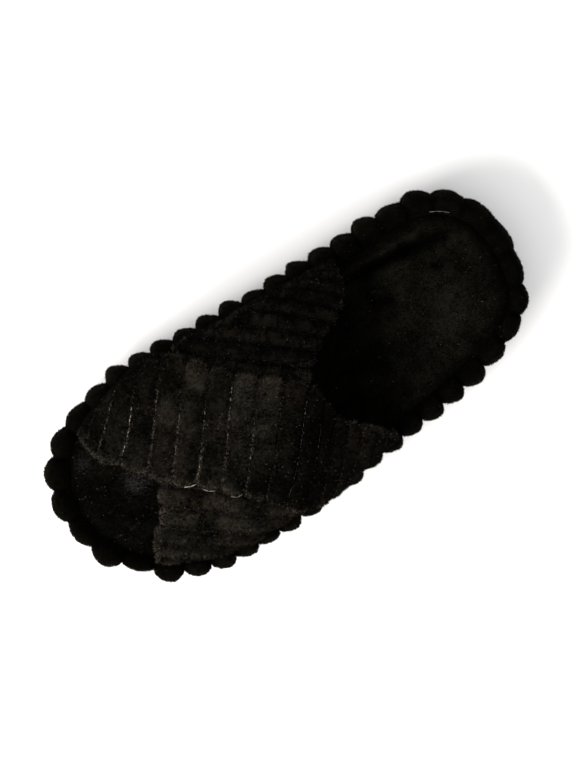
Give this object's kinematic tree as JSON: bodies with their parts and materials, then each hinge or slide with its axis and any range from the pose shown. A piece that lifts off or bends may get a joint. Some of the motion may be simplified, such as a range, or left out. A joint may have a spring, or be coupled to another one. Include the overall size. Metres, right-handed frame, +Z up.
{
  "type": "slide slipper",
  "caption": "Left open-toe, open-back plush slide slipper with crossed ribbed straps, a scalloped padded binding, a ribbed footbed and a thin flat outsole.",
  "frame": {"origin": "middle of the bounding box in plan, on the floor under the sole", "axes": "+X towards the toe, +Y towards the little-toe side, +Z up"},
  "size_m": [0.2638, 0.1174, 0.0877],
  "materials": {
    "outsole": "matt moulded foam rubber with a fine tread",
    "binding": "short black plush over padding, one puff for each channel",
    "insole": "short black plush, trodden, with low ribs",
    "upper": "channelled black plush with stitched valleys"
  },
  "bodies": {
    "root": {"outsole": "outsole", "binding": "binding", "insole": "insole", "upper": "upper"}
  },
  "joints": []
}
